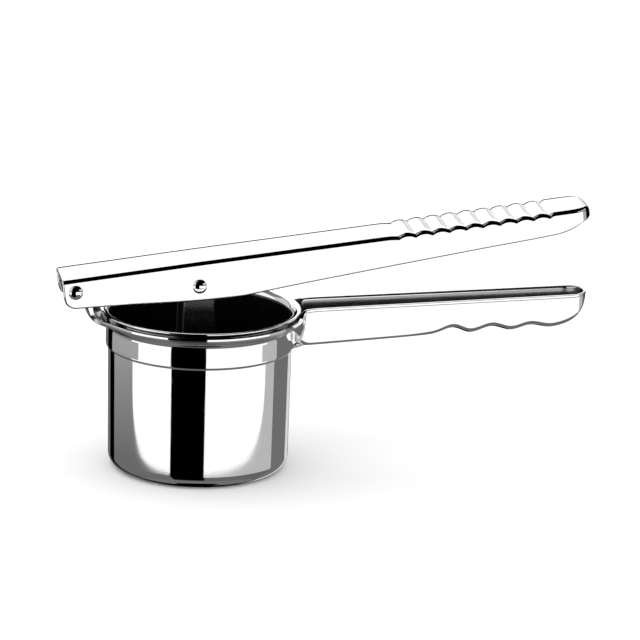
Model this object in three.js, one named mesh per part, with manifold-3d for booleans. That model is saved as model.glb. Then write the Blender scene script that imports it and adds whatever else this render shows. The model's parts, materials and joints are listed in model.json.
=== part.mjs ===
// A stainless steel potato ricer, standing on its basket with the lever slightly raised.
// Millimetres, +Z up. The basket's base is centred on the origin, both handles point along +X.
import * as THREE from 'three';
import { mergeVertices } from 'three/addons/utils/BufferGeometryUtils.js';
import Module from 'manifold-3d';

const wasm = await Module();
wasm.setup();

// ---- driving dimensions -------------------------------------------------------------

const GAP = 0.3;                 // free space between neighbouring pieces
const ROUND_SEGMENTS = 56;       // facets round the basket, collar and plunger disc
const SMALL_SEGMENTS = 20;       // facets round rivets, washers and tubes

const basket = {
  sheet: 0.9,
  baseRadius: 42.3,              // outer wall radius just above the bottom corner
  mouthRadius: 43.0,             // outer wall radius under the rim
  cornerRadius: 8.5,
  rimRadius: 47.0,
  rimTop: 76.7,
  holeRadius: 1.6,
  holeRings: [6, 11.7, 17.4, 23.1, 28.8],
  holeSpacing: 6.6,              // along each ring
};

const collar = {
  sheet: 0.9,
  bottom: 58.2,
  boreRadius: basket.mouthRadius + GAP,
  lipRadius: 49.1,
  lipTop: 74.8,
};

const handle = {
  sheet: 1.1,
  start: 40,                     // hidden inside the collar, cut away by its bore
  end: 183,
  halfWidthAtCollar: 10.9,
  halfWidthAtEnd: 9.3,
  rootFillet: 9,                 // concave corner between collar and handle, in plan
  cornerRadius: 2.5,
};

const pins = {
  hinge: { x: -60.2, z: 88.3 },
  plunger: { x: -2.4, z: 90.3 },
  shaftRadius: 2.5,
  headRadius: 3.4,
  headHeight: 1.7,
};

const neck = {
  sheet: 1.1,
  halfWidth: 10.5,
  eyeRadius: 5.2,
};

const lever = {
  sheet: 1.2,
  slope: 7.3,                    // degrees above level in the stored pose
  halfWidth: 13.5,
  back: -5.8,                    // lengths along the lever start at the hinge pin
  nose: 246,
  topAtHinge: 6.4,               // heights across the lever start at the hinge pin too
  topAtGrip: 5.8,
  edgeRadius: 1.8,
  gripStart: 152.8,
  scallopPitch: 8,
  scallops: 9,
  scallopRadius: 6.9,
};

const plunger = {
  length: 79.3,                  // pin axis down to the disc's underside
  offset: 2.8,                   // disc axis ahead of the pin axis
  discRadius: 39.2,
  discSheet: 1.2,
  skirtHeight: 9,
  cornerRadius: 6.4,
  yokeSheet: 1.5,
  yokeHalfWidth: neck.halfWidth,
  yokeHalfLength: 11,            // along X, at the foot
  eyeRadius: 6,
  rivetRadius: 1.5,
  rivetHeadRadius: 3,
  rivetOffset: 6,
};

// ---- materials ----------------------------------------------------------------------

const POLISHED = new THREE.MeshStandardMaterial({ color: 0xd6d8da, roughness: 0.12, metalness: 1 });
const SATIN = new THREE.MeshStandardMaterial({ color: 0xb9bcbf, roughness: 0.35, metalness: 1 });

// ---- general helpers ----------------------------------------------------------------

// Turns a three.js geometry into a manifold solid.
function solid(geometry) {
  const bare = geometry.clone();
  bare.deleteAttribute('normal');
  bare.deleteAttribute('uv');
  const welded = mergeVertices(bare, 1e-5);
  return new wasm.Manifold(new wasm.Mesh({
    numProp: 3,
    vertProperties: new Float32Array(welded.attributes.position.array),
    triVerts: new Uint32Array(welded.index.array),
  }));
}

// Turns a manifold solid into a named three.js mesh.
function mesh(name, body, material) {
  const data = body.getMesh();
  const geometry = new THREE.BufferGeometry();
  geometry.setAttribute('position', new THREE.BufferAttribute(data.vertProperties, 3));
  geometry.setIndex(new THREE.BufferAttribute(data.triVerts, 1));
  geometry.computeVertexNormals();
  const result = new THREE.Mesh(geometry, material);
  result.name = name;
  return result;
}

// Joins equally long rings of points into a closed solid with flat ends.
function loft(rings) {
  const count = rings[0].length;
  const positions = [];
  const faces = [];
  for (const ring of rings) {
    for (const point of ring) {
      positions.push(...point);
    }
  }
  for (let row = 0; row + 1 < rings.length; row += 1) {
    for (let i = 0; i < count; i += 1) {
      const a = row * count + i;
      const b = row * count + (i + 1) % count;
      faces.push(a, b, b + count, a, b + count, a + count);
    }
  }
  const last = (rings.length - 1) * count;
  for (let i = 1; i + 1 < count; i += 1) {
    faces.push(0, i + 1, i);
    faces.push(last, last + i, last + i + 1);
  }
  const geometry = new THREE.BufferGeometry();
  geometry.setAttribute('position', new THREE.Float32BufferAttribute(positions, 3));
  geometry.setIndex(faces);
  return solid(geometry);
}

// Turns an outline of [radius, height] pairs about the Z axis.
function turned(outline, segments = ROUND_SEGMENTS) {
  const points = outline.map(([radius, height]) => new THREE.Vector2(radius, height));
  const geometry = new THREE.LatheGeometry(points, segments);
  geometry.rotateX(Math.PI / 2);
  return solid(geometry);
}

// Extrudes an outline of [x, z] pairs between two Y positions.
function plate(outline, nearY, farY) {
  const shape = new THREE.Shape(outline.map(([x, z]) => new THREE.Vector2(x, z)));
  const geometry = new THREE.ExtrudeGeometry(shape, { depth: farY - nearY, bevelEnabled: false });
  geometry.rotateX(Math.PI / 2);
  geometry.translate(0, farY, 0);
  return solid(geometry);
}

// A round bar along Y through one of the pin positions.
function crossBar(pin, radius, nearY, farY) {
  const geometry = new THREE.CylinderGeometry(radius, radius, farY - nearY, SMALL_SEGMENTS);
  geometry.translate(pin.x, (nearY + farY) / 2, pin.z);
  return solid(geometry);
}

// Points on an arc in the order given, angles in degrees.
function arc(centreX, centreY, radius, from, to, steps) {
  const points = [];
  for (let i = 0; i <= steps; i += 1) {
    const angle = THREE.MathUtils.degToRad(from + (to - from) * i / steps);
    points.push([centreX + radius * Math.cos(angle), centreY + radius * Math.sin(angle)]);
  }
  return points;
}

// Straight-line interpolation through a list of [position, value] pairs.
function interpolate(table, position) {
  let index = 1;
  while (index < table.length - 1 && position > table[index][0]) {
    index += 1;
  }
  const [x0, y0] = table[index - 1];
  const [x1, y1] = table[index];
  return THREE.MathUtils.lerp(y0, y1, THREE.MathUtils.clamp((position - x0) / (x1 - x0), 0, 1));
}

// Evenly spaced values including both ends.
function spread(from, to, steps) {
  return Array.from({ length: steps + 1 }, (_, i) => from + (to - from) * i / steps);
}

// ---- basket -------------------------------------------------------------------------

// The deep-drawn cup wall: rounded bottom corner, slight taper and a rim flared outwards.
function basketShell() {
  const { sheet, baseRadius, mouthRadius, cornerRadius, rimRadius, rimTop } = basket;
  const flare = rimRadius - mouthRadius + sheet - 0.9;
  const outside = [
    [0, 0],
    ...arc(baseRadius - cornerRadius, cornerRadius, cornerRadius, -90, 0, 5),
    [mouthRadius, 60],
    ...arc(mouthRadius + flare - sheet, rimTop - flare, flare - sheet, 180, 90, 4),
    [rimRadius, rimTop - sheet],
  ];
  const inside = [
    [rimRadius, rimTop - 0.2],
    [rimRadius - 0.2, rimTop],
    ...arc(mouthRadius + flare - sheet, rimTop - flare, flare, 90, 180, 5),
    [mouthRadius - sheet, 60],
    ...arc(baseRadius - cornerRadius, cornerRadius, cornerRadius - sheet, 0, -90, 5),
    [0, sheet],
  ];
  return turned([...outside, ...inside]);
}

// Rings of drain holes through the basket's base; the centre stays solid.
function drainHoles() {
  const holes = [];
  basket.holeRings.forEach((ringRadius, ring) => {
    const count = Math.floor(2 * Math.PI * ringRadius / basket.holeSpacing);
    for (let i = 0; i < count; i += 1) {
      const angle = (i + 0.5 * (ring % 2)) * 2 * Math.PI / count;
      const geometry = new THREE.CylinderGeometry(basket.holeRadius, basket.holeRadius, 3, 8);
      geometry.rotateX(Math.PI / 2);
      geometry.translate(ringRadius * Math.cos(angle), ringRadius * Math.sin(angle), 0.5);
      holes.push(solid(geometry));
    }
  });
  return wasm.Manifold.union(holes);
}

function makeBasket() {
  return mesh('basket', basketShell().subtract(drainHoles()), POLISHED);
}

// ---- frame: collar, lower handle and hinge neck in one pressing ----------------------

// Outer skin of the collar, as a plug down to the axis.
function collarOutside() {
  const wall = collar.boreRadius + collar.sheet;
  return turned([
    [0, collar.bottom],
    [collar.boreRadius, collar.bottom],
    [wall - 0.3, collar.bottom + 0.3],
    [wall, collar.bottom + 1.2],
    [wall, 69.5],
    [wall + 0.3, 70.7],
    [wall + 1, 71.4],
    [wall + 2.2, 71.7],
    [collar.lipRadius - 0.9, 71.8],
    [collar.lipRadius - 0.2, 72.2],
    [collar.lipRadius, 72.8],
    [collar.lipRadius, collar.lipTop - 0.5],
    [collar.lipRadius - 0.2, collar.lipTop - 0.1],
    [collar.lipRadius - 0.5, collar.lipTop],
    [0, collar.lipTop],
  ]);
}

// Everything the basket and its rim need to drop into, cleared well above the lip.
function collarBore() {
  const bore = collar.boreRadius;
  return turned([
    [0, 50],
    [bore, 50],
    [bore, 70],
    [bore + 0.4, 71.4],
    [bore + 1.3, 72.3],
    [bore + 2.9, 72.7],
    [collar.lipRadius - 1.3, 72.8],
    [collar.lipRadius - 0.9, 73.2],
    [collar.lipRadius - 0.9, 95],
    [0, 95],
  ]);
}

// Underside of the lower handle, with its three finger grooves and upturned end.
const HANDLE_UNDERSIDE = new THREE.SplineCurve([
  [30, 58.9], [46, 59.6], [77, 61.5], [105, 63.4], [109.5, 63.9], [118.8, 66.7], [126.9, 64],
  [137.6, 66.9], [146.4, 64.8], [156, 67.2], [165, 65.8], [171.3, 67.1], [177.2, 70.1],
  [181.2, 74.3], [182.8, 78.3], [183, 80],
].map(([x, z]) => new THREE.Vector2(x, z))).getPoints(130).map(({ x, y }) => [x, y]);

// Upper edge of the lower handle: level with the lip at the collar, then rising gently.
function handleTop(x) {
  const blend = THREE.MathUtils.smoothstep(x, 45, 60);
  return THREE.MathUtils.lerp(collar.lipTop, 77.4 + 0.034 * (x - 47), blend);
}

function handleHalfWidth(x) {
  const { halfWidthAtCollar, halfWidthAtEnd, rootFillet, end } = handle;
  const taper = THREE.MathUtils.mapLinear(x, 47, 176, halfWidthAtCollar, halfWidthAtEnd);
  const toRoot = THREE.MathUtils.clamp(46.5 + rootFillet - x, 0, rootFillet * 0.98);
  const fillet = rootFillet - Math.sqrt(rootFillet ** 2 - toRoot ** 2);
  const tip = THREE.MathUtils.clamp((x - (end - 9)) / 9, 0, 1);
  return (taper + fillet) * Math.sqrt(1 - 0.93 * tip ** 2.4);
}

// One U-shaped cross-section of the handle, from its near top edge round to its far one.
function handleRing(x, inset, top) {
  const half = handleHalfWidth(x) - inset;
  const bottom = interpolate(HANDLE_UNDERSIDE, x) + inset;
  const radius = Math.min(handle.cornerRadius - inset, half * 0.8, Math.max(top - bottom, 0.5) * 0.8);
  const near = arc(-half + radius, bottom + radius, radius, 180, 270, 3);
  const far = arc(half - radius, bottom + radius, radius, 270, 360, 3);
  return [[-half, top], ...near, ...far, [half, top]].map(([y, z]) => [x, y, z]);
}

function handleBody(inset) {
  const last = handle.end - inset - 0.05;
  const stations = [
    ...spread(handle.start, 58, 12),
    ...spread(66, 104, 4),
    ...spread(106, 168, 31),
    ...spread(170, last - 3, 5),
    ...spread(last - 2, last, 4),
  ];
  return loft(stations.map((x) => handleRing(x, inset, inset > 0 ? 95 : handleTop(x))));
}

// Stations down the neck: outer skin point, free edge point and half width.
const NECK_STATIONS = [
  { skin: [-40, 71.4], edge: [-40, 74.8], half: 21 },
  { skin: [-45.3, 71.3], edge: [-45.6, 74.8], half: 18.5 },
  { skin: [-47.2, 71.4], edge: [-47.6, 74.6], half: 14.6 },
  { skin: [-49.4, 71.9], edge: [-49.4, 74.5], half: 11.8 },
  { skin: [-51.9, 73.3], edge: [-50.6, 75.2], half: 10.6 },
  { skin: [-54.0, 76.0], edge: [-51.4, 77.2], half: 10.5 },
  { skin: [-55.3, 79.2], edge: [-51.9, 79.9], half: 10.5 },
  { skin: [-56.0, 82.4], edge: [-52.2, 82.6], half: 10.5 },
];

function neckBody(inset, openBy) {
  return loft(NECK_STATIONS.map(({ skin, edge, half }) => {
    const direction = new THREE.Vector2(edge[0] - skin[0], edge[1] - skin[1]).normalize();
    const outer = [skin[0] + direction.x * inset, skin[1] + direction.y * inset];
    const inner = [edge[0] + direction.x * openBy, edge[1] + direction.y * openBy];
    const y = half - inset;
    return [
      [inner[0], y, inner[1]],
      [outer[0], y, outer[1]],
      [outer[0], -y, outer[1]],
      [inner[0], -y, inner[1]],
    ];
  }));
}

// The neck's two ears, each an eye round the hinge rivet running down into the neck.
function hingeEar(nearY, farY) {
  const { x, z } = pins.hinge;
  const outline = [
    ...arc(x, z, neck.eyeRadius, -20, 195, 14),
    [-56.2, 82.2],
    [-55.4, 79.2],
    [-52, 79.2],
    [-52.4, 82.6],
  ];
  return plate(outline, nearY, farY).subtract(crossBar(pins.hinge, pins.shaftRadius + GAP, -20, 20));
}

function makeFrame() {
  const { halfWidth, sheet } = neck;
  const outside = collarOutside().add(handleBody(0)).add(neckBody(0, 0));
  const hollow = collarBore().add(handleBody(handle.sheet)).add(neckBody(sheet, 6));
  const pressing = outside.subtract(hollow)
    .add(hingeEar(-halfWidth, -halfWidth + sheet))
    .add(hingeEar(halfWidth - sheet, halfWidth));
  return mesh('frame', pressing, POLISHED);
}

// ---- lever --------------------------------------------------------------------------

// Lower edge of the lever's side walls, as [length along, height] pairs.
const LEVER_EDGE = [
  [-5.8, -1.9], [-5.6, -3.6], [-4.8, -5.4], [-3.4, -6.8], [-1.4, -7.6], [8, -8.2], [74, -13.1],
  [78.5, -13.2], [83, -12.9], [190, -6.3], [227, -4.7], [231, -4.1], [235.4, -2.8], [239, -1.3],
  [242, -0.4], [246, 0],
];

// Plan outline of the nose, as [length along, half width] pairs.
const LEVER_NOSE = [
  [233, 13.5], [236, 13.4], [238.5, 13.0], [240.5, 12.2], [242.2, 10.9], [243.5, 9.2], [244.5, 7.0],
  [245.4, 4.2], [246, 1.4],
];

// Roll-over of the top skin towards the nose, as [length along, drop] pairs.
const LEVER_NOSE_DROP = [
  [240, 0], [242, 0.15], [243.5, 0.7], [244.5, 1.5], [245.4, 2.7], [246, 4],
];

function leverTop(along) {
  const { topAtHinge, topAtGrip, gripStart, scallopPitch, scallops, scallopRadius } = lever;
  const gripEnd = gripStart + scallops * scallopPitch;
  if (along < gripStart) {
    return THREE.MathUtils.mapLinear(Math.max(along, 60), 60, gripStart, topAtHinge, topAtGrip);
  }
  if (along > gripEnd) {
    return topAtHinge - 0.1 - interpolate(LEVER_NOSE_DROP, along);
  }
  const offset = ((along - gripStart) / scallopPitch % 1 - 0.5) * scallopPitch;
  return topAtHinge - scallopRadius + Math.sqrt(scallopRadius ** 2 - offset ** 2);
}

// One inverted-U cross-section of the lever, from its near lower edge over to its far one.
function leverRing(along, inset, bottom) {
  const half = interpolate(LEVER_NOSE, along) - inset;
  const top = leverTop(along) - inset;
  const radius = Math.min(Math.max(lever.edgeRadius - inset, 0.5), half * 0.8, (top - bottom) * 0.6);
  const far = arc(half - radius, top - radius, radius, 0, 90, 3);
  const near = arc(-half + radius, top - radius, radius, 90, 180, 3);
  return [[half, bottom], ...far, ...near, [-half, bottom]].map(([y, z]) => [along, y, z]);
}

function leverStations(from, to) {
  const { gripStart, scallopPitch, scallops } = lever;
  const gripEnd = gripStart + scallops * scallopPitch;
  const grip = spread(gripStart, gripEnd, scallops * 6).map((along) => along + 1e-4);
  const edge = LEVER_EDGE.map(([along]) => along);
  const nose = LEVER_NOSE.map(([along]) => along);
  const all = [...edge, ...nose, 60, gripStart - 0.5, ...grip, gripEnd + 0.5];
  const inside = all.filter((along) => along > from + 0.1 && along < to - 0.1);
  const sorted = [from, ...inside.sort((a, b) => a - b), to];
  return sorted.filter((along, i) => i === 0 || along - sorted[i - 1] > 0.05);
}

function makeLever() {
  const { sheet, back, nose, slope } = lever;
  const outside = loft(leverStations(back, nose)
    .map((along) => leverRing(along, 0, interpolate(LEVER_EDGE, along))));
  const hollow = loft(leverStations(back - 5, nose - sheet - 0.4)
    .map((along) => leverRing(along, sheet, -30)));
  const tilt = new THREE.Matrix4()
    .makeRotationY(-THREE.MathUtils.degToRad(slope))
    .setPosition(pins.hinge.x, 0, pins.hinge.z);
  const channel = outside.subtract(hollow).transform(tilt.toArray());
  const drilled = channel
    .subtract(crossBar(pins.hinge, pins.shaftRadius + GAP, -20, 20))
    .subtract(crossBar(pins.plunger, pins.shaftRadius + GAP, -20, 20));
  return mesh('lever', drilled, POLISHED);
}

// ---- rivets, washers and tubes on the two pins ----------------------------------------

// A domed rivet through both lever walls, its heads just clear of them.
function makeRivet(name, pin) {
  const { shaftRadius, headRadius, headHeight } = pins;
  const seat = lever.halfWidth + GAP;
  const dome = arc(0, 0, 1, 0, 90, 5).map(([across, up]) => [headRadius * across, headHeight * up]);
  const upper = [[shaftRadius, seat], ...dome.map(([r, h]) => [r, seat + h])];
  const lower = upper.map(([r, h]) => [r, -h]).reverse();
  const points = [...lower, ...upper].map(([r, h]) => new THREE.Vector2(Math.max(r, 0), h));
  points[0].x = 0;
  points[points.length - 1].x = 0;
  const geometry = new THREE.LatheGeometry(points, SMALL_SEGMENTS);
  geometry.translate(pin.x, 0, pin.z);
  return mesh(name, solid(geometry), POLISHED);
}

// A ring round a pin between two Y positions: a flat washer or a spacer tube.
function makeRing(name, pin, outerRadius, nearY, farY) {
  const ring = crossBar(pin, outerRadius, nearY, farY)
    .subtract(crossBar(pin, pins.shaftRadius + GAP, nearY - 1, farY + 1));
  return mesh(name, ring, SATIN);
}

// The four washers that keep the lever walls off the ears and the yoke.
function makeWashers() {
  const from = neck.halfWidth + GAP;
  const to = lever.halfWidth - lever.sheet - GAP;
  return [
    makeRing('hinge_washer_near', pins.hinge, 4.8, -to, -from),
    makeRing('hinge_washer_far', pins.hinge, 4.8, from, to),
    makeRing('plunger_washer_near', pins.plunger, 4.8, -to, -from),
    makeRing('plunger_washer_far', pins.plunger, 4.8, from, to),
  ];
}

// The two tubes that keep the ears and the yoke's legs apart on their rivets.
function makeSpacerTubes() {
  const hingeHalf = neck.halfWidth - neck.sheet - GAP;
  const plungerHalf = plunger.yokeHalfWidth - plunger.yokeSheet - GAP;
  return [
    makeRing('hinge_spacer_tube', pins.hinge, 4, -hingeHalf, hingeHalf),
    makeRing('plunger_spacer_tube', pins.plunger, 4, -plungerHalf, plungerHalf),
  ];
}

// ---- plunger ------------------------------------------------------------------------

const DISC_X = pins.plunger.x + plunger.offset;
const DISC_BOTTOM = pins.plunger.z - plunger.length;
const YOKE_BOTTOM = DISC_BOTTOM + plunger.discSheet + GAP;

// Vertical holes for the two rivets that hold the yoke to the disc.
function rivetHoles() {
  const { rivetRadius, rivetOffset } = plunger;
  return wasm.Manifold.union([-rivetOffset, rivetOffset].map((offset) => {
    const radius = rivetRadius + GAP;
    const geometry = new THREE.CylinderGeometry(radius, radius, 12, SMALL_SEGMENTS);
    geometry.rotateX(Math.PI / 2);
    geometry.translate(DISC_X + offset, 0, DISC_BOTTOM);
    return solid(geometry);
  }));
}

// The pressing disc: a shallow pan with its rim turned up.
function makeDisc() {
  const { discRadius, discSheet, skirtHeight, cornerRadius } = plunger;
  const corner = discRadius - cornerRadius;
  const pan = turned([
    [0, 0],
    ...arc(corner, cornerRadius, cornerRadius, -90, 0, 5),
    [discRadius, skirtHeight - 0.3],
    [discRadius - 0.3, skirtHeight],
    [discRadius - discSheet + 0.3, skirtHeight],
    [discRadius - discSheet, skirtHeight - 0.3],
    ...arc(corner, cornerRadius, cornerRadius - discSheet, 0, -90, 5),
    [0, discSheet],
  ]).translate([DISC_X, 0, DISC_BOTTOM]);
  return mesh('plunger_disc', pan.subtract(rivetHoles()), POLISHED);
}

// The bent strap that carries the disc: a flat foot and two tapering legs with eyes.
function makeYoke() {
  const { yokeSheet, yokeHalfWidth, yokeHalfLength, eyeRadius } = plunger;
  const { x, z } = pins.plunger;
  const silhouette = [
    [DISC_X - yokeHalfLength, YOKE_BOTTOM],
    [DISC_X + yokeHalfLength, YOKE_BOTTOM],
    [DISC_X + yokeHalfLength, YOKE_BOTTOM + 8],
    ...arc(x, z, eyeRadius, 5, 175, 12),
    [DISC_X - yokeHalfLength, YOKE_BOTTOM + 8],
  ];
  const between = plate([
    [DISC_X - 30, YOKE_BOTTOM + yokeSheet],
    [DISC_X + 30, YOKE_BOTTOM + yokeSheet],
    [DISC_X + 30, z + 20],
    [DISC_X - 30, z + 20],
  ], -yokeHalfWidth + yokeSheet, yokeHalfWidth - yokeSheet);
  const strap = plate(silhouette, -yokeHalfWidth, yokeHalfWidth)
    .subtract(between)
    .subtract(crossBar(pins.plunger, pins.shaftRadius + GAP, -20, 20))
    .subtract(rivetHoles());
  return mesh('plunger_yoke', strap, SATIN);
}

// A small rivet with a flat head under the disc and one on the yoke's foot.
function makeDiscRivet(name, offset) {
  const { rivetRadius, rivetHeadRadius, yokeSheet } = plunger;
  const under = DISC_BOTTOM - GAP;
  const over = YOKE_BOTTOM + yokeSheet + GAP;
  const body = turned([
    [0, under - 1],
    [rivetHeadRadius - 0.7, under - 0.9],
    [rivetHeadRadius, under - 0.3],
    [rivetHeadRadius, under],
    [rivetRadius, under],
    [rivetRadius, over],
    [rivetHeadRadius, over],
    [rivetHeadRadius, over + 0.3],
    [rivetHeadRadius - 0.7, over + 0.9],
    [0, over + 1],
  ], SMALL_SEGMENTS).translate([DISC_X + offset, 0, 0]);
  return mesh(name, body, SATIN);
}

// ---- assembly -----------------------------------------------------------------------

const ricer = new THREE.Group();
ricer.name = 'potato_ricer';
ricer.add(
  makeBasket(),
  makeFrame(),
  makeLever(),
  makeRivet('hinge_rivet', pins.hinge),
  makeRivet('plunger_rivet', pins.plunger),
  ...makeWashers(),
  ...makeSpacerTubes(),
  makeDisc(),
  makeYoke(),
  makeDiscRivet('disc_rivet_rear', -plunger.rivetOffset),
  makeDiscRivet('disc_rivet_front', plunger.rivetOffset),
);

export default ricer;
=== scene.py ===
import json
import math

import bmesh
import bpy
from mathutils import Matrix, Vector


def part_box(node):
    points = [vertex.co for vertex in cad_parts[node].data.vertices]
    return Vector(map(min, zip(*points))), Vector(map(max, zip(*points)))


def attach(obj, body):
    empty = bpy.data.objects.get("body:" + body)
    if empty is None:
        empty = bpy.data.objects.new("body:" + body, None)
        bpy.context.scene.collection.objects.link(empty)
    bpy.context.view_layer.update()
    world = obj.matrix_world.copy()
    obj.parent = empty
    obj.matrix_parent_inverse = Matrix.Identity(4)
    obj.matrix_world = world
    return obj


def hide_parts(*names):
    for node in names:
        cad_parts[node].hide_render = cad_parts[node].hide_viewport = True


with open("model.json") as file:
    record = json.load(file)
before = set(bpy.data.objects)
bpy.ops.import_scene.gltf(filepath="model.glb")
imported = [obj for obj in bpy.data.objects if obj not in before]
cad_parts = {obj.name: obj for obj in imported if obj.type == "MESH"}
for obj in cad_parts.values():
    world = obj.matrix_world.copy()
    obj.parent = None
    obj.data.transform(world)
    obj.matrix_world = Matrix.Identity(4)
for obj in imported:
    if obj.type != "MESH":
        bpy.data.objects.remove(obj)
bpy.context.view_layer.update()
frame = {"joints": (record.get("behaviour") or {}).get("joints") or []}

MM = 0.001
ON_AXIS = 1e-6                   # a smaller radius than this counts as none


# ---- sizes, from the frame where it has them -------------------------------------------

def node_box(node):
    low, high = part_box(node)
    return low / MM, high / MM


def joint_position(name):
    joint = next(joint for joint in frame["joints"] if joint["name"] == name)
    return Vector(joint["pos_m"]) / MM


HINGE = joint_position("lever_hinge")
PLUNGER_PIN = joint_position("plunger_pivot")
PIN_HOLE = 2.8                   # radius of the holes that a pin passes through
PIN_RADIUS = 2.5

BASKET_HIGH = node_box("basket")[1]
RIM_RADIUS = BASKET_HIGH.x
RIM_TOP = BASKET_HIGH.z
RIM_FLARE = 4.0                  # radius of the curl into the mouth, over its upper side
RIM_FLAT = 0.9                   # width of the rim's flat top
BASKET_SHEET = 0.9
MOUTH_RADIUS = RIM_RADIUS - RIM_FLAT - RIM_FLARE + BASKET_SHEET
BASE_RADIUS = MOUTH_RADIUS - 0.7
BASKET_CORNER = 6.5
TAPER_TOP = 60                   # the cup's wall is upright above this height
UPRIGHT_MIDDLE = 66
EDGE_ROUNDING = 0.3              # of the rim's outer edge
HOLE_RADIUS = 1.6
HOLE_RINGS = [6, 11.7, 17.4, 23.1, 28.8]
HOLE_SPACING = 6.6

FRAME_LOW, FRAME_HIGH = node_box("frame")
LIP_RADIUS = FRAME_HIGH.y
LIP_TOP = 74.8
COLLAR_RADIUS = 44.2
COLLAR_BOTTOM = FRAME_LOW.z
FRAME_SHEET = 0.95
HEM_PROUD = 0.45                 # how far the hemmed edge stands out from the skin
HEM_HEIGHT = 1.5
HANDLE_START = 47                # where the handle's straight sides leave the collar
GRIP_END_X = 176                 # and where they end, past the last finger groove
HANDLE_END = FRAME_HIGH.x
HANDLE_TIP = 9                   # length over which the handle's end is rounded, in plan
HANDLE_TOP = 77.4                # its edge follows a straight line from this height at its start
HANDLE_RISE = 0.034              # with this slope
HANDLE_HALF_AT_START = 10.9      # half widths over the hem
HANDLE_HALF_AT_GRIP_END = 9.3
HANDLE_CORNER = 1.2              # lower corners of the handle's channel, near the cup
GRIP_CORNER = 2.2                # and along its finger grooves
ROOT_END = 49.8                  # where the handle's hollow root fillets have run out
ROOT_LEAVE = 4.0                 # how firmly a fillet starts along the collar's wall
ROOT_ARRIVE = 3.2                # and how firmly it ends along the handle
EAR_Y = 10.5

LEVER_HALF_WIDTH = node_box("lever")[1].y
LEVER_SLOPE = math.radians(7.3)
LEVER_SHEET = 1.2
LEVER_BEAD = 0.85                # radius of the rolled lower edge of its walls
LEVER_TOP = 6.4                  # heights across the lever start at the hinge pin
LEVER_TOP_AT_GRIP = 5.8
LEVER_EDGE_RADIUS = 1.8
LEVER_SHOULDER = 18.0            # larger radius that eases the flat top into each edge
SHOULDER_TURN = 10.0             # degrees of turn taken by that larger radius
GRIP_START = 152.8               # lengths along the lever start at the hinge pin
SCALLOP_PITCH = 8.0
SCALLOPS = 9
SCALLOP_RADIUS = 6.9
GRIP_END = GRIP_START + SCALLOPS * SCALLOP_PITCH

DISC_LOW, DISC_HIGH = node_box("plunger_disc")
DISC_X = (DISC_LOW.x + DISC_HIGH.x) / 2
DISC_SHEET = 1.2
YOKE_LOW, YOKE_HIGH = node_box("plunger_yoke")
YOKE_SHEET = 1.5
DISC_RIVET_SHAFT = 1.5           # radius
DISC_RIVET_DOME = 1.0            # height of each head

# Outer skin of the collar from its lip down, as (radius, height).
COLLAR_ROWS = [
    (LIP_RADIUS - HEM_PROUD, LIP_TOP - 0.1), (LIP_RADIUS - HEM_PROUD, 73.4),
    (LIP_RADIUS - 0.5, 72.7), (LIP_RADIUS - 1.2, 72.1), (COLLAR_RADIUS + 2.1, 71.7),
    (COLLAR_RADIUS + 1.1, 70.9), (COLLAR_RADIUS + 0.15, 69.7), (COLLAR_RADIUS, 69.2),
    (COLLAR_RADIUS, 66.5), (COLLAR_RADIUS, 63.0), (COLLAR_RADIUS, 59.9),
    (COLLAR_RADIUS, 59.2), (COLLAR_RADIUS - 0.3, 58.8), (COLLAR_RADIUS - 0.7, COLLAR_BOTTOM + 0.4),
    (COLLAR_RADIUS - 1.1, COLLAR_BOTTOM),
]
COLUMNS = 48                     # cage columns round the collar, column 0 along +X
NOTCH = 3                        # columns cut away either side of the handle's and the neck's middle
HANDLE_ROW = 10                  # collar row that the handle's floor grows from
NECK_ROW = 4                     # collar row that the neck's floor grows from

# Underside of the lower handle with its finger grooves and upturned end, as (x, height).
HANDLE_UNDERSIDE = [
    (30, 58.9), (46, 59.6), (77, 61.5), (105, 63.4), (109.5, 63.9), (118.8, 66.7),
    (126.9, 64), (137.6, 66.9), (146.4, 64.8), (156, 67.2), (165, 65.8), (171.3, 67.1),
    (177.2, 70.1), (181.2, 74.3), (182.8, 78.3), (183, 80),
]

# Stations up the neck: outer skin (x, height), free edge (x, height), half width, corner radius.
NECK_STATIONS = [
    ((-47.4, 71.7), (-47.7, 74.5), 14.6, 1.8),
    ((-49.4, 72.0), (-49.4, 74.5), 11.9, 1.7),
    ((-51.9, 73.3), (-50.6, 75.2), 10.7, 1.6),
    ((-54.0, 76.0), (-51.4, 77.2), EAR_Y, 1.5),
    ((-55.3, 79.2), (-51.9, 79.9), EAR_Y, 1.3),
    ((-56.0, 81.4), (-52.1, 81.6), EAR_Y, 0.8),
    ((-56.1, 82.4), (-52.3, 82.7), EAR_Y, 0.3),
]

# Stations up each hinge ear: front edge and back edge, both as (x, height).
EAR_STATIONS = [
    ((-53.3, 84.6), (-60.6, 84.4)),
    ((-54.9, 86.6), (-65.1, 86.6)),
    ((-54.9, 88.6), (-65.5, 88.6)),
    ((-56.2, 92.3), (-64.2, 92.3)),
    ((-59.0, 93.7), (-61.4, 93.7)),
]

# Lower edge of the lever's side walls, as (length along, height).
LEVER_EDGE = [
    (-4.95, -1.7), (-4.8, -3.3), (-4.3, -4.9), (-3, -6.2), (-1.2, -7), (8, -7.6),
    (74, -12.2), (78.5, -12.2), (83, -11.8), (190, -5.9), (227, -4.1), (231, -3.5),
    (235.4, -2.2), (239, -0.7), (242, 0.2), (246, 0.6),
]

# Plan outline of the lever's nose, as (length along, half width).
LEVER_NOSE = [
    (-4.95, LEVER_HALF_WIDTH), (233, LEVER_HALF_WIDTH), (236, 13.4), (238.5, 13.0),
    (240.5, 12.2), (242.2, 10.9), (243.5, 9.2), (244.5, 7.0), (245.4, 4.2), (246, 1.4),
]

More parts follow.
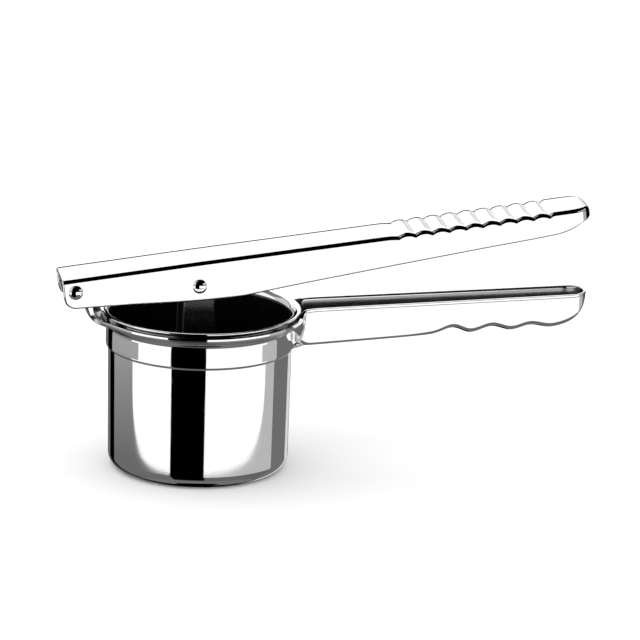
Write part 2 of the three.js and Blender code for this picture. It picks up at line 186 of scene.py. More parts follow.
# Roll-over of the lever's top skin at the nose, as (length along, drop).
LEVER_NOSE_DROP = [
    (GRIP_END, 0), (240, 0), (242, 0.15), (243.5, 0.7), (244.5, 1.5), (245.4, 2.7), (246, 4),
]


# ---- numbers -------------------------------------------------------------------------

def mix(a, b, share):
    return a + (b - a) * share


def smooth(low, high, value):
    share = min(max((value - low) / (high - low), 0), 1)
    return share * share * (3 - 2 * share)


def spread(start, end, steps):
    return [mix(start, end, i / steps) for i in range(steps + 1)]


def arc(centre, radius, start, end, steps):
    """Points (u, v) on an arc in the order given, angles in degrees."""
    angles = [math.radians(angle) for angle in spread(start, end, steps)]
    return [(centre[0] + radius * math.cos(a), centre[1] + radius * math.sin(a)) for a in angles]


def slope_at(table, index):
    """Slope of the smooth curve at one of a table's own points."""
    def secant(i):
        return (table[i + 1][1] - table[i][1]) / (table[i + 1][0] - table[i][0])
    if index == 0:
        return secant(0)
    if index == len(table) - 1:
        return secant(index - 1)
    before, after = secant(index - 1), secant(index)
    if before * after <= 0:
        return 0
    return 2 * before * after / (before + after)


def curve(table, position):
    """Value at a position on the smooth curve through (position, value) pairs."""
    index = 1
    while index < len(table) - 1 and position > table[index][0]:
        index += 1
    (x0, y0), (x1, y1) = table[index - 1], table[index]
    width = x1 - x0
    t = min(max((position - x0) / width, 0), 1)
    lean0 = slope_at(table, index - 1) * width
    lean1 = slope_at(table, index) * width
    return (y0 * (1 + 2 * t) + lean0 * t) * (1 - t) ** 2 + (y1 * (3 - 2 * t) - lean1 * (1 - t)) * t * t


# ---- meshes --------------------------------------------------------------------------

def add_ring(vertices, points):
    first = len(vertices)
    vertices.extend(points)
    return list(range(first, len(vertices)))


def bridge(faces, ring, following):
    """Quads between two rows of vertices of the same length."""
    for i in range(len(ring) - 1):
        faces.append((ring[i], ring[i + 1], following[i + 1], following[i]))


def close_end(faces, ring):
    """A ladder of faces that closes a U-shaped row across its opening."""
    last = len(ring) - 1
    for i in range(last // 2):
        rung = [ring[i], ring[i + 1], ring[last - i - 1], ring[last - i]]
        faces.append(tuple(dict.fromkeys(rung)))


def turned(outline, segments, closed=False):
    """Vertices and faces of an outline of (radius, height) turned about Z."""
    vertices, faces, rings = [], [], []
    for radius, height in outline:
        count = segments if radius > ON_AXIS else 1
        angles = [2 * math.pi * i / segments for i in range(count)]
        rings.append(add_ring(vertices, [
            (radius * math.cos(a), radius * math.sin(a), height) for a in angles
        ]))
    pairs = list(zip(rings, rings[1:]))
    if closed:
        pairs.append((rings[-1], rings[0]))
    for low, high in pairs:
        for i in range(segments):
            j = (i + 1) % segments
            corners = [
                low[i % len(low)], low[j % len(low)], high[j % len(high)], high[i % len(high)],
            ]
            faces.append(tuple(dict.fromkeys(corners)))
    return vertices, faces


def face_outwards(mesh, towards):
    """Makes all faces point out; the face furthest towards a direction settles which way is out."""
    work = bmesh.new()
    work.from_mesh(mesh)
    bmesh.ops.recalc_face_normals(work, faces=work.faces)
    furthest = max(work.faces, key=lambda face: face.calc_center_median().dot(towards))
    if furthest.normal.dot(towards) < 0:
        bmesh.ops.reverse_faces(work, faces=work.faces)
    work.to_mesh(mesh)
    work.free()


def new_object(name, vertices, faces, towards=Vector((0, 0, 1))):
    """An object from millimetre vertices in the row frame."""
    mesh = bpy.data.meshes.new(name)
    mesh.from_pydata([Vector(vertex) * MM for vertex in vertices], [], faces)
    face_outwards(mesh, towards)
    result = bpy.data.objects.new(name, mesh)
    bpy.context.scene.collection.objects.link(result)
    return result


def add_modifier(piece, kind, **settings):
    modifier = piece.modifiers.new(kind.title(), kind)
    for key, value in settings.items():
        setattr(modifier, key, value)


def apply_modifiers(piece):
    view = bpy.context.evaluated_depsgraph_get()
    mesh = bpy.data.meshes.new_from_object(piece.evaluated_get(view))
    piece.modifiers.clear()
    piece.data = mesh


def thicken(piece, sheet, even=True):
    """Gives a skin its sheet thickness; the new hidden side takes the second material index."""
    piece.data.materials.append(None)
    piece.data.materials.append(None)
    add_modifier(
        piece, "SOLIDIFY", thickness=sheet * MM, offset=-1, use_even_offset=even, material_offset=1,
    )


def cut(piece, cutters):
    """Takes the cutters' shapes out of a piece, and removes them."""
    for cutter in cutters:
        add_modifier(piece, "BOOLEAN", operation="DIFFERENCE", object=cutter, solver="EXACT")
    apply_modifiers(piece)
    for cutter in cutters:
        bpy.data.objects.remove(cutter)


def finish_edges(piece, radius, crease=40):
    """Rounds the piece's crisp edges and shades the rest as one smooth surface."""
    add_modifier(
        piece, "BEVEL", width=radius * MM, segments=3, limit_method="ANGLE",
        angle_limit=math.radians(crease),
    )
    apply_modifiers(piece)
    smooth_shade(piece, crease)


def smooth_shade(piece, crease=40):
    piece.data.shade_smooth()
    piece.data.set_sharp_from_angle(angle=math.radians(crease))
    add_modifier(piece, "WEIGHTED_NORMAL", keep_sharp=True)
    apply_modifiers(piece)


def register(piece, body, slot, nodes, inside=1.0):
    """Gives a finished piece its material, its body and the CAD nodes it stands for."""
    marks = piece.data.attributes.new("inside", "FLOAT", "FACE")
    for face, mark in zip(piece.data.polygons, marks.data):
        # the inside mark sets how strongly painted shade darkens a face's colour and how much rougher
        # it is
        mark.value = inside * face.material_index
        face.material_index = 0
    piece.data.materials.clear()
    piece.data.materials.append(MATERIALS[slot])
    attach(piece, body)
    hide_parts(*nodes)


def pin_cutter(pin, radius, half_length):
    """A round peg along Y, centred on a pin, to cut its hole with."""
    outline = [(0, -half_length), (radius, -half_length), (radius, half_length), (0, half_length)]
    vertices, faces = turned(outline, 48)
    return new_object("cutter", [(pin.x + x, z, pin.z + y) for x, y, z in vertices], faces)


# ---- materials -----------------------------------------------------------------------

# The hidden sides of the pressings are rougher, as they aren't polished, and their colour is darkened
# as painted shade.
INSIDE_SHADE_TONE = (0.10, 0.105, 0.115)
INSIDE_ROUGHNESS = 0.22


def node(tree, kind, **inputs):
    result = tree.nodes.new("ShaderNode" + kind)
    for key, value in inputs.items():
        result.inputs[key.replace("_", " ")].default_value = value
    return result


def stretched_noise(tree, source, turn, stretch, scale, detail):
    """Noise pulled out into hairlines along one direction of the piece."""
    mapping = node(tree, "Mapping", Rotation=turn, Scale=stretch)
    tree.links.new(source, mapping.inputs["Vector"])
    noise = node(tree, "TexNoise", Scale=scale, Detail=detail)
    tree.links.new(mapping.outputs["Vector"], noise.inputs["Vector"])
    return noise.outputs["Fac"]


def remap(tree, source, low, high, to_low, to_high):
    result = node(tree, "MapRange", From_Min=low, From_Max=high, To_Min=to_low, To_Max=to_high)
    tree.links.new(source, result.inputs["Value"])
    return result.outputs["Result"]


def add(tree, a, b):
    result = tree.nodes.new("ShaderNodeMath")
    result.operation = "ADD"
    tree.links.new(a, result.inputs[0])
    tree.links.new(b, result.inputs[1])
    return result.outputs["Value"]


def steel(name, dark, light, roughness, scratch_roughness, brush_depth, brush_stretch):
    """Stainless steel: cloudy tone, hairline scratches two ways, brushing and rubbed edges; its hidden
    sides get painted shade in their colour.
    """
    material = bpy.data.materials.new(name)
    material.use_nodes = True
    tree = material.node_tree
    shader = tree.nodes["Principled BSDF"]
    shader.inputs["Metallic"].default_value = 1
    place = node(tree, "TexCoord").outputs["Object"]

    clouds = node(tree, "TexNoise", Scale=45, Detail=3)
    tree.links.new(place, clouds.inputs["Vector"])
    tone = node(tree, "Mix")
    tone.data_type = "RGBA"
    tone.inputs["A"].default_value = (*dark, 1)
    tone.inputs["B"].default_value = (*light, 1)
    tree.links.new(clouds.outputs["Fac"], tone.inputs["Factor"])
    inside = node(tree, "Attribute")
    inside.attribute_name = "inside"
    # painted shade: faces marked inside have their base colour pulled towards a dark tone
    painted_shade = node(tree, "Mix")
    painted_shade.data_type = "RGBA"
    painted_shade.inputs["B"].default_value = (*INSIDE_SHADE_TONE, 1)
    tree.links.new(inside.outputs["Fac"], painted_shade.inputs["Factor"])
    tree.links.new(tone.outputs["Result"], painted_shade.inputs["A"])
    tree.links.new(painted_shade.outputs["Result"], shader.inputs["Base Color"])

    first = stretched_noise(
        tree, place, turn=(0.3, 0.2, 0.5), stretch=(1, 30, 30), scale=60, detail=2,
    )
    second = stretched_noise(
        tree, place, turn=(1.2, 0.7, -0.4), stretch=(30, 1.5, 30), scale=55, detail=2,
    )
    scratches = add(
        tree,
        remap(tree, first, 0.66, 0.74, 0, scratch_roughness),
        remap(tree, second, 0.68, 0.76, 0, scratch_roughness),
    )
    cloudy = remap(tree, clouds.outputs["Fac"], 0.3, 0.7, roughness * 0.8, roughness * 1.25)
    wear = remap(
        tree, node(tree, "NewGeometry").outputs["Pointiness"], 0.53, 0.6, 0, roughness * 1.5,
    )
    unpolished = remap(tree, inside.outputs["Fac"], 0, 1, 0, INSIDE_ROUGHNESS)
    total = add(tree, add(tree, cloudy, scratches), add(tree, wear, unpolished))
    tree.links.new(total, shader.inputs["Roughness"])

    brushing = stretched_noise(
        tree, place, turn=(0, 0, 0), stretch=brush_stretch, scale=140, detail=4,
    )
    bump = node(tree, "Bump", Strength=brush_depth, Distance=0.0001)
    tree.links.new(brushing, bump.inputs["Height"])
    tree.links.new(bump.outputs["Normal"], shader.inputs["Normal"])
    return material


MATERIALS = {
    "polished_steel": steel(
        "polished_steel", (0.90, 0.905, 0.915), (0.95, 0.95, 0.955),
        roughness=0.045, scratch_roughness=0.05, brush_depth=0.01, brush_stretch=(1, 12, 12),
    ),
    "satin_steel": steel(
        "satin_steel", (0.42, 0.425, 0.435), (0.52, 0.525, 0.53),
        roughness=0.24, scratch_roughness=0.08, brush_depth=0.12, brush_stretch=(1, 14, 1),
    ),
}


# ---- basket --------------------------------------------------------------------------

def basket_outline():
    """Outline of the cup: flat base, rounded corner, slight taper, curled flat rim and back inside."""
    corner = (BASE_RADIUS - BASKET_CORNER, BASKET_CORNER)
    curl = (RIM_RADIUS - RIM_FLAT, RIM_TOP - RIM_FLARE)
    edge = RIM_RADIUS - EDGE_ROUNDING
    taper = list(zip(spread(BASE_RADIUS, MOUTH_RADIUS, 8), spread(BASKET_CORNER, TAPER_TOP, 8)))
    outside = [
        *[(radius, 0) for radius in spread(0, 30, 6)],
        *arc(corner, BASKET_CORNER, -90, 0, 14),
        *taper[1:],
        (MOUTH_RADIUS, UPRIGHT_MIDDLE),
        *arc(curl, RIM_FLARE - BASKET_SHEET, 180, 90, 10),
        *arc((edge, RIM_TOP - BASKET_SHEET + EDGE_ROUNDING), EDGE_ROUNDING, -90, 0, 4),
    ]
    inside = [
        *arc((edge, RIM_TOP - EDGE_ROUNDING), EDGE_ROUNDING, 0, 90, 4),
        *arc(curl, RIM_FLARE, 90, 180, 12),
        (MOUTH_RADIUS - BASKET_SHEET, UPRIGHT_MIDDLE),
        *[(radius - BASKET_SHEET, height) for radius, height in taper[:0:-1]],
        *arc(corner, BASKET_CORNER - BASKET_SHEET, 0, -90, 12),
        *[(radius, BASKET_SHEET) for radius in spread(30, 0, 6)],
    ]
    return outside + inside


def drain_cutter():
    """One object holding a peg for every drain hole; the centre of the base stays solid."""
    vertices, faces = [], []
    for ring, ring_radius in enumerate(HOLE_RINGS):
        count = int(2 * math.pi * ring_radius / HOLE_SPACING)
        for i in range(count):
            angle = (i + 0.5 * (ring % 2)) * 2 * math.pi / count
            x, y = ring_radius * math.cos(angle), ring_radius * math.sin(angle)
            peg, peg_faces = turned([(0, -2), (HOLE_RADIUS, -2), (HOLE_RADIUS, 3), (0, 3)], 24)
            first = len(vertices)
            vertices.extend((x + px, y + py, pz) for px, py, pz in peg)
            faces.extend(tuple(first + corner for corner in face) for face in peg_faces)
    return new_object("cutter", vertices, faces)


def inside_cup(face):
    """True for the faces of the cup's inner wall, below the curl, and of the top of its base."""
    below_curl = face.center.z < (RIM_TOP - 2.5) * MM
    towards_axis = face.center.xy.dot(face.normal.xy) < -0.3 * face.center.xy.length
    on_base = face.normal.z > 0.5 and face.center.z < 5 * MM
    return (below_curl and towards_axis) or on_base


def make_basket():
    vertices, faces = turned(basket_outline(), 256)
    basket = new_object("cup_with_drain_holes", vertices, faces)
    cut(basket, [drain_cutter()])
    smooth_shade(basket)
    # the cup's inner wall and the top of its base are marked for painted shade and extra roughness
    for face in basket.data.polygons:
        face.material_index = int(inside_cup(face))
    register(basket, "frame_body", "polished_steel", ["basket"])


# ---- frame: collar, lower handle and hinge neck in one pressing ------------------------

def collar_point(column, row):
    radius, height = COLLAR_ROWS[row]
    angle = 2 * math.pi * column / COLUMNS
    return radius * math.cos(angle), radius * math.sin(angle), height


def cut_away(column, row):
    """True inside the notches that the handle and the neck grow out of."""
    from_handle = min(column, COLUMNS - column)
    from_neck = abs(column - COLUMNS // 2)
    return (from_handle < NOTCH and row < HANDLE_ROW) or (from_neck < NOTCH and row < NECK_ROW)


def collar_cage(vertices, faces):
    """Adds the collar's quads, and returns its vertex numbers by (column, row)."""
    index = {}
    for column in range(COLUMNS):
        for row in range(len(COLLAR_ROWS)):
            if not cut_away(column, row):
                index[column, row] = len(vertices)
                vertices.append(collar_point(column, row))
    for column in range(COLUMNS):
        following = (column + 1) % COLUMNS
        for row in range(len(COLLAR_ROWS) - 1):
            corners = [(column, row), (following, row), (following, row + 1), (column, row + 1)]
            if all(corner in index for corner in corners):
                faces.append(tuple(index[corner] for corner in corners))
    return index


def notch_path(index, middle, step, floor_row):
    """Vertex numbers round a notch: down its near side, along its floor and up its far side."""
    columns = [(middle + step * i) % COLUMNS for i in range(-NOTCH, NOTCH + 1)]
    down = [index[columns[0], row] for row in range(floor_row + 1)]
    along = [index[column, floor_row] for column in columns[1:-1]]
    up = [index[columns[-1], row] for row in range(floor_row, -1, -1)]
    return down + along + up


def handle_top(x):
    """Height of the handle's edge, which rises smoothly out of the collar's lip."""
    return mix(LIP_TOP - 0.1, HANDLE_TOP + HANDLE_RISE * (x - HANDLE_START), smooth(41, 52, x))


def handle_half_width(x):
    """Half width of the handle's skin, without its hem; it shrinks to a small flat at the end."""
    along = (x - HANDLE_START) / (GRIP_END_X - HANDLE_START)
    taper = mix(HANDLE_HALF_AT_START, HANDLE_HALF_AT_GRIP_END, along) - HEM_PROUD
    tip = min(max((x - HANDLE_END + HANDLE_TIP) / HANDLE_TIP, 0), 1)
    return taper * math.sqrt(1 - 0.93 * tip ** 2.4)


def u_section(x, half, top, bottom, corner, rows, floor_steps):
    """Cage points of a U section across X, from its near top edge round to its far one."""
    above = min(0.9, (top - bottom - corner) * 0.3)
    straight = [(half, z) for z in spread(top, bottom + corner + above, rows - 4)]
    straight.append((half, bottom + corner))
    bend = arc((half - corner, bottom + corner), corner, -30, -90, 2)
    wall = straight + bend
    near = [(x, -y, z) for y, z in wall]
    floor = [(x, y, bottom) for y in spread(corner - half, half - corner, floor_steps)[1:-1]]
    far = [(x, y, z) for y, z in reversed(wall)]
    return near + floor + far


def handle_section(x):
    half, top, bottom = handle_half_width(x), handle_top(x), curve(HANDLE_UNDERSIDE, x)
    corner = mix(HANDLE_CORNER, GRIP_CORNER, smooth(95, 125, x))
    corner = min(corner, half * 0.8, (top - bottom) * 0.8)
    return u_section(x, half, top, bottom, corner, HANDLE_ROW, 2 * NOTCH)


def root_point(start, end, on_wall, share):
    """A point on the hollow fillet that sweeps from the collar into the handle."""
    side = math.copysign(1, start[1])
    angle = 2 * math.pi * NOTCH / COLUMNS
    leave = (math.sin(angle), -side * math.cos(angle)) if on_wall else (1, 0)
    controls = [
        Vector(start[:2]),
        Vector(start[:2]) + ROOT_LEAVE * Vector(leave),
        Vector(end[:2]) - Vector((ROOT_ARRIVE, 0)),
        Vector(end[:2]),
    ]
    weights = [(1 - share) ** 3, 3 * share * (1 - share) ** 2, 3 * share ** 2 * (1 - share), share ** 3]
    plan = sum((weight * point for weight, point in zip(weights, controls)), Vector((0, 0)))
    return plan.x, plan.y, mix(start[2], end[2], smooth(0, 1, share))


def handle_cage(vertices, faces, path):
    """Grows the lower handle out of the collar's notch."""
    starts = [vertices[number] for number in path]
    ends = handle_section(ROOT_END)
    ring = path
    for share in spread(0, 1, 6)[1:-1]:
        points = [
            root_point(start, end, i < HANDLE_ROW or i > len(path) - 1 - HANDLE_ROW, share)
            for i, (start, end) in enumerate(zip(starts, ends))
        ]
        following = add_ring(vertices, points)
        bridge(faces, ring, following)
        ring = following
    stations = [
        ROOT_END, 53, 58, 65, *spread(73, 97, 3), *spread(103, 171, 30),
        173, 175, 176.8, 178.4, 179.8, 181, 181.9, 182.5, 182.9, HANDLE_END,
    ]
    for x in stations:
        following = add_ring(vertices, handle_section(x))
        bridge(faces, ring, following)
        ring = following
    close_end(faces, ring)


def neck_section(skin, edge, half, corner):
    """Cage points of the neck's channel, from its near free edge round to its far one."""
    wall = []
    for share, inset in [(0, 0), (0.3, 0), (0.58, 0), (0.82, 0), (1, 1)]:
        x, z = mix(edge[0], skin[0], share), mix(edge[1], skin[1], share)
        wall.append((x, half - corner * inset, z))
    near = [(x, -y, z) for x, y, z in wall]
    floor_half = wall[-1][1]
    floor = [(skin[0], y, skin[1]) for y in spread(-floor_half, floor_half, 2 * NOTCH)[1:-1]]
    return near + floor + wall[::-1]


def neck_cage(vertices, faces, path):
    """Grows the hinge neck out of the collar's notch, and an ear out of each of its sides."""
    ring = path
    for skin, edge, half, corner in NECK_STATIONS:
        following = add_ring(vertices, neck_section(skin, edge, half, corner))
        bridge(faces, ring, following)
        ring = following
    wall = NECK_ROW + 1
    for side, root in ((-1, ring[:wall]), (1, ring[:-wall - 1:-1])):
        for front, back in EAR_STATIONS:
            points = [
                (mix(front[0], back[0], share), side * EAR_Y, mix(front[1], back[1], share))
                for share in spread(0, 1, NECK_ROW)
            ]
            following = add_ring(vertices, points)
            bridge(faces, root, following)
            root = following


def free_edge(skin):
    """The boundary that reaches furthest along X, as a closed loop of BMesh vertices in order."""
    start = max((v for v in skin.verts if v.is_boundary), key=lambda v: v.co.x)
    loop, edge = [start], None
    while True:
        edge = next(e for e in loop[-1].link_edges if e.is_boundary and e is not edge)
        following = edge.other_vert(loop[-1])
        if following is start:
            return loop
        loop.append(following)


def hem_section(x):
    """The safe edge's section at a place along the object; it fades into the skin at the ears."""
    shown = smooth(-53, -47, x)
    proud = mix(HEM_PROUD, 0.1, smooth(HANDLE_END - 8, HANDLE_END - 1, x))
    outer, inner = mix(-0.1, proud, shown), mix(-0.8, -FRAME_SHEET - 0.1, shown)
    top, bottom = mix(-0.3, 0.1, shown), 0.1 - HEM_HEIGHT
    return [
        *arc((outer - 0.2, top - 0.2), 0.2, 0, 90, 4),
        *arc((inner + 0.2, top - 0.2), 0.2, 90, 180, 4),
        *arc((inner + 0.2, bottom + 0.2), 0.2, 180, 270, 4),
        *arc((outer - 0.5, bottom + 0.5), 0.5, 270, 360, 6),
    ]


def round_section(x):
    """A full round, flush with the outside of the lever's wall and the same at every place x."""
    return arc((-LEVER_BEAD, 0), LEVER_BEAD + 0.005, 0, 337.5, 15)


def edge_roll(skin_mesh, section_at):
    """Sweeps a section round a skin's free edge; u runs out of the skin and v past its edge."""
    skin = bmesh.new()
    skin.from_mesh(skin_mesh)
    loop = free_edge(skin)
    vertices, faces, rings = [], [], []
    for i, vertex in enumerate(loop):
        along = (loop[(i + 1) % len(loop)].co - loop[i - 1].co).normalized()
        across = along.cross(vertex.normal).normalized()
        inwards = sum((face.calc_center_median() for face in vertex.link_faces), Vector())
        if across.dot(inwards / len(vertex.link_faces) - vertex.co) > 0:
            across.negate()
        rings.append(add_ring(vertices, [
            vertex.co / MM + vertex.normal * u + across * v
            for u, v in section_at(vertex.co.x / MM)
        ]))
    for ring, following in zip(rings, rings[1:] + rings[:1]):
        bridge(faces, ring + ring[:1], following + following[:1])
    skin.free()
    return new_object("edge_roll", vertices, faces, towards=Vector((0, -1, 0)))


def absorb(piece, other):
    """Adds another object's mesh to a piece, as one more shell of the same pressing."""
    both = bmesh.new()
    both.from_mesh(piece.data)
    both.from_mesh(other.data)
    both.to_mesh(piece.data)
    both.free()
    bpy.data.objects.remove(other)


def make_frame():
    vertices, faces = [], []
    index = collar_cage(vertices, faces)
    handle_cage(vertices, faces, notch_path(index, 0, 1, HANDLE_ROW))
    neck_cage(vertices, faces, notch_path(index, COLUMNS // 2, -1, NECK_ROW))
    pressing = new_object("frame_pressing", vertices, faces, towards=Vector((0, -1, 0)))
    add_modifier(pressing, "SUBSURF", levels=2, render_levels=2)
    apply_modifiers(pressing)
    hem = edge_roll(pressing.data, hem_section)
    thicken(pressing, FRAME_SHEET)
    cut(pressing, [pin_cutter(HINGE, PIN_HOLE, 20)])
    finish_edges(pressing, 0.3, crease=50)
    smooth_shade(hem)
    absorb(pressing, hem)
    # its hidden side gets painted shade and extra roughness at 0.55 strength
    register(pressing, "frame_body", "polished_steel", ["frame"], inside=0.55)


# ---- lever ---------------------------------------------------------------------------

def scallop_height(along):
    """Height of the finger scallops: round crests meeting in slightly softened valleys."""
    offset = ((along - GRIP_START) / SCALLOP_PITCH % 1) * SCALLOP_PITCH - SCALLOP_PITCH / 2
    crests = []
    for neighbour in (-SCALLOP_PITCH, 0, SCALLOP_PITCH):
        away = min(abs(offset - neighbour), SCALLOP_RADIUS * 0.98)
        crests.append(math.sqrt(SCALLOP_RADIUS ** 2 - away ** 2) - SCALLOP_RADIUS)
    first, second = sorted(crests)[:-3:-1]
    softening = 0.5
    overlap = max(softening - (first - second), 0) / softening
    return LEVER_TOP + first + overlap ** 2 * softening / 4


def lever_top(along):
    """Height of the lever's top skin: a plain shank, the scallops, and the drop at the nose."""
    thinning_start, valley_in, valley_out = 60, 6, 2.5
    valley = scallop_height(GRIP_START)
    if along < GRIP_START:
        thinning = max(along - thinning_start, 0) / (GRIP_START - thinning_start)
        plain = mix(LEVER_TOP, LEVER_TOP_AT_GRIP, thinning)
        into_valley = max((along - GRIP_START + valley_in) / valley_in, 0)
        return mix(plain, valley, into_valley ** 2)
    if along > GRIP_END:
        out_of_valley = max(1 - (along - GRIP_END) / valley_out, 0)
        plain = LEVER_TOP - 0.1 - curve(LEVER_NOSE_DROP, along)
        return mix(plain, valley, out_of_valley ** 2)
    return scallop_height(along)


def lever_section(along):
    """Points of the inverted U, from the near lower edge over the top to the far one."""
    half, top, bottom = curve(LEVER_NOSE, along), lever_top(along), curve(LEVER_EDGE, along)
    corner = min(LEVER_EDGE_RADIUS, half * 0.8, (top - bottom) * 0.6)
    shoulder = max(corner, LEVER_SHOULDER * (half / LEVER_HALF_WIDTH) ** 3)
    drop = (shoulder - corner) * (1 - math.cos(math.radians(SHOULDER_TURN)))
    edge = (half - corner, top - drop - corner)
    walls = [(half, z) for z in spread(bottom, edge[1], 8)]
    bend = arc(edge, corner, 0, 90 - SHOULDER_TURN, 8)[1:]
    middle = bend[-1][0] - shoulder * math.sin(math.radians(SHOULDER_TURN))
    bend += arc((middle, top - shoulder), shoulder, 90 - SHOULDER_TURN, 90, 4)[1:]
    far = walls + bend
    across = [(y, top) for y in spread(middle, -middle, 10)[1:-1]]
    near = [(-y, z) for y, z in reversed(far)]
    return [(along, y, z) for y, z in far + across + near]


def lever_stations():
    back = [*spread(-4.95, -4.4, 6), *spread(-4.2, -1.2, 10), *spread(0, 6, 4)]
    shank = [*spread(9, GRIP_START - 6, 48), *spread(GRIP_START - 5.5, GRIP_START - 0.5, 10)]
    grip = spread(GRIP_START, GRIP_END, SCALLOPS * 20)
    after = [*spread(GRIP_END + 0.4, GRIP_END + 2.8, 6), *spread(GRIP_END + 4, 239.5, 11)]
    nose = [240 + 5.9 * math.sin(math.radians(angle)) for angle in spread(0, 90, 28)]
    return back + shank + grip + after + nose


def lever_frame():
    """Where the lever's own lengths and heights start: the hinge pin, tipped to the lever's slope."""
    return Matrix.Translation(HINGE) @ Matrix.Rotation(-LEVER_SLOPE, 4, "Y")


def make_lever():
    vertices, faces, ring = [], [], None
    for along in lever_stations():
        following = add_ring(vertices, lever_section(along))
        if ring:
            bridge(faces, ring, following)
        ring = following
    close_end(faces, ring)
    placed = [lever_frame() @ Vector(vertex) for vertex in vertices]
    lever = new_object("lever_pressing", placed, faces)
    round_edge = edge_roll(lever.data, round_section)
    thicken(lever, LEVER_SHEET, even=False)
    apply_modifiers(lever)
    smooth_shade(lever, 60)
    smooth_shade(round_edge, 60)
    absorb(lever, round_edge)
    register(lever, "lever_body", "polished_steel", ["lever"])


# ---- rivets, washers and tubes on the two pins -------------------------------------------

def turned_on_pin(name, outline, pin, body, slot, cad_node):
    """A piece turned about a pin's axis; outline heights run along Y."""
    vertices, faces = turned(outline, 96, closed=outline[0][0] > ON_AXIS)
    piece = new_object(name, [(pin.x + x, z, pin.z + y) for x, y, z in vertices], faces)
    smooth_shade(piece, 30)
    register(piece, body, slot, [cad_node])


def rivet_outline():
    """A shaft with a domed head at each end, seated on the lever's walls."""
    head, height = 3.4, 1.75
    dome = [(head * u, height * v) for u, v in arc((0, 0), 1, 12, 90, 18)]
    seat = [(PIN_RADIUS, 0), (head - 0.15, 0), (head, 0.12)]
    upper = [(r, LEVER_HALF_WIDTH + h) for r, h in seat + dome]
    return [(r, -h) for r, h in reversed(upper)] + upper


def ring_outline(outer, start, end, chamfer):
    """A ring's rectangular section with its four corners eased."""
    return [
        (PIN_HOLE, start + chamfer), (PIN_HOLE + chamfer, start), (outer - chamfer, start),
        (outer, start + chamfer), (outer, end - chamfer), (outer - chamfer, end),
        (PIN_HOLE + chamfer, end), (PIN_HOLE, end - chamfer),
    ]


def make_pin_parts():
    pins = [("hinge", HINGE, "lever_body"), ("plunger", PLUNGER_PIN, "plunger_body")]
    for name, pin, tube_body in pins:
        rivet = name + "_rivet"
        turned_on_pin(
            name + "_domed_rivet", rivet_outline(), pin, "lever_body", "polished_steel", rivet,
        )
        for side in ("near", "far"):
            washer = name + "_washer_" + side
            low, high = node_box(washer)
            turned_on_pin(
                washer + "_ring", ring_outline(4.8, low.y, high.y, 0.2), pin, "lever_body",
                "satin_steel", washer,
            )
        tube = name + "_spacer_tube"
        low, high = node_box(tube)
        turned_on_pin(
            name + "_spacer", ring_outline(4.0, low.y, high.y, 0.3), pin, tube_body,
            "satin_steel", tube,
        )


# ---- plunger -------------------------------------------------------------------------

def make_disc():
    """The pressing disc: a shallow pan with its rim turned up."""
    radius, height, corner = DISC_HIGH.y, DISC_HIGH.z - DISC_LOW.z, 6.4
    half_sheet = DISC_SHEET / 2
    outline = [
        *[(r, 0) for r in spread(0, 28, 4)],
        *arc((radius - corner, corner), corner, -90, 0, 12),
        *arc((radius - half_sheet, height - half_sheet), half_sheet, 0, 180, 12),
        *arc((radius - corner, corner), corner - DISC_SHEET, 0, -90, 12),
        *[(r, DISC_SHEET) for r in spread(28, 0, 4)],
    ]
    vertices, faces = turned(outline, 192)
    placed = [(DISC_X + x, y, DISC_LOW.z + z) for x, y, z in vertices]
    disc = new_object("pressing_disc", placed, faces)
    smooth_shade(disc)
    register(disc, "plunger_body", "polished_steel", ["plunger_disc"])


def yoke_stations():
    """Rows down the near leg and along half the foot, as (y, height, back x, front x)."""
    pin_x, pin_z, foot = PLUNGER_PIN.x, PLUNGER_PIN.z, YOKE_LOW.z
    half, foot_reach = YOKE_HIGH.y, 11
    eye = [(pin_z + up, reach) for up, reach in [(6, 2.2), (5.2, 4.2), (2.5, 5.9), (-0.5, 6.2)]]
    leg = [(pin_z - down, mix(6.4, 10.6, down / 62)) for down in spread(4, 62, 8)]
    rows = []
    for z, reach in eye + leg + [(foot + up, foot_reach) for up in (8, 4.5, 2.6)]:
        middle = mix(DISC_X, pin_x, smooth(foot, pin_z, z))
        rows.append((-half, z, middle - reach, middle + reach))
    bend = [(-half, foot + 1.2), (-half + 0.7, foot + 0.3), (-half + 1.9, foot)]
    for y, z in bend + [(-half + 4, foot), (-3.2, foot)]:
        rows.append((y, z, DISC_X - foot_reach, DISC_X + foot_reach))
    return rows


def make_yoke():
    """The bent strap that carries the disc: a flat foot and two tapering legs with eyes."""
    near = yoke_stations()
    far = [(-y, z, back, front) for y, z, back, front in reversed(near)]
    vertices, faces, ring = [], [], None
    for y, z, back, front in near + far:
        following = add_ring(vertices, [(x, y, z) for x in spread(back, front, 6)])
        if ring:
            bridge(faces, ring, following)
        ring = following
    yoke = new_object("plunger_strap", vertices, faces, towards=Vector((0, -1, 0)))
    add_modifier(yoke, "SUBSURF", levels=2, render_levels=2)
    thicken(yoke, YOKE_SHEET)
    cut(yoke, [pin_cutter(PLUNGER_PIN, PIN_HOLE, 20)])
    finish_edges(yoke, 0.25, crease=50)
    register(yoke, "plunger_body", "satin_steel", ["plunger_yoke"])


def make_disc_rivets():
    """Two small rivets through the disc and the strap's foot, with softly domed heads."""
    for cad_node in ("disc_rivet_rear", "disc_rivet_front"):
        low, high = node_box(cad_node)
        middle, half = (low + high) / 2, (high - low) / 2
        head, seat = half.x, half.z - DISC_RIVET_DOME
        upper = [(DISC_RIVET_SHAFT, seat - 0.05), (head - 0.1, seat - 0.05)]
        upper += [(head * u, seat + DISC_RIVET_DOME * v) for u, v in arc((0, 0), 1, 15, 90, 10)]
        outline = [(r, -h) for r, h in reversed(upper)] + upper
        vertices, faces = turned(outline, 48)
        placed = [(middle.x + x, middle.y + y, middle.z + z) for x, y, z in vertices]
        rivet = new_object(cad_node + "_headed", placed, faces)
        smooth_shade(rivet, 30)
        register(rivet, "plunger_body", "satin_steel", [cad_node])


# ---- studio --------------------------------------------------------------------------

